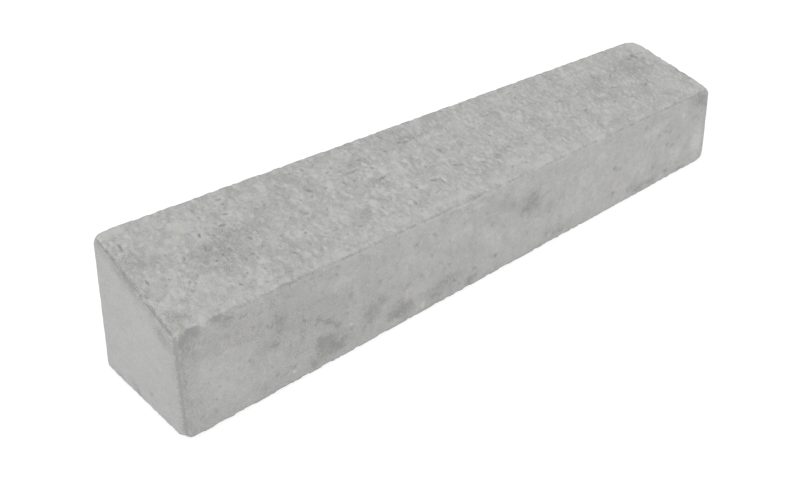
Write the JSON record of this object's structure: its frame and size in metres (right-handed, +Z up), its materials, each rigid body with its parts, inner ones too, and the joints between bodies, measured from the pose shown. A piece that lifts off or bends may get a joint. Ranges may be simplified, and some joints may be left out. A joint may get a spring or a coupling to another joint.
{
  "type": "concrete kerb stone",
  "caption": "Straight precast concrete kerb stone with a sloped top, flat bed and slightly leaning sides, for edging a road or path.",
  "frame": {"origin": "middle of the bed face, the flat underside that the kerb stands on", "axes": "+X along the kerb, +Y from the low front face to the high back face, +Z up"},
  "size_m": [0.9994, 0.1694, 0.1732],
  "materials": {
    "concrete": "matt cast concrete, smooth sides, rougher open-pored top"
  },
  "bodies": {
    "root": {"kerb_stone": "concrete"}
  },
  "joints": []
}
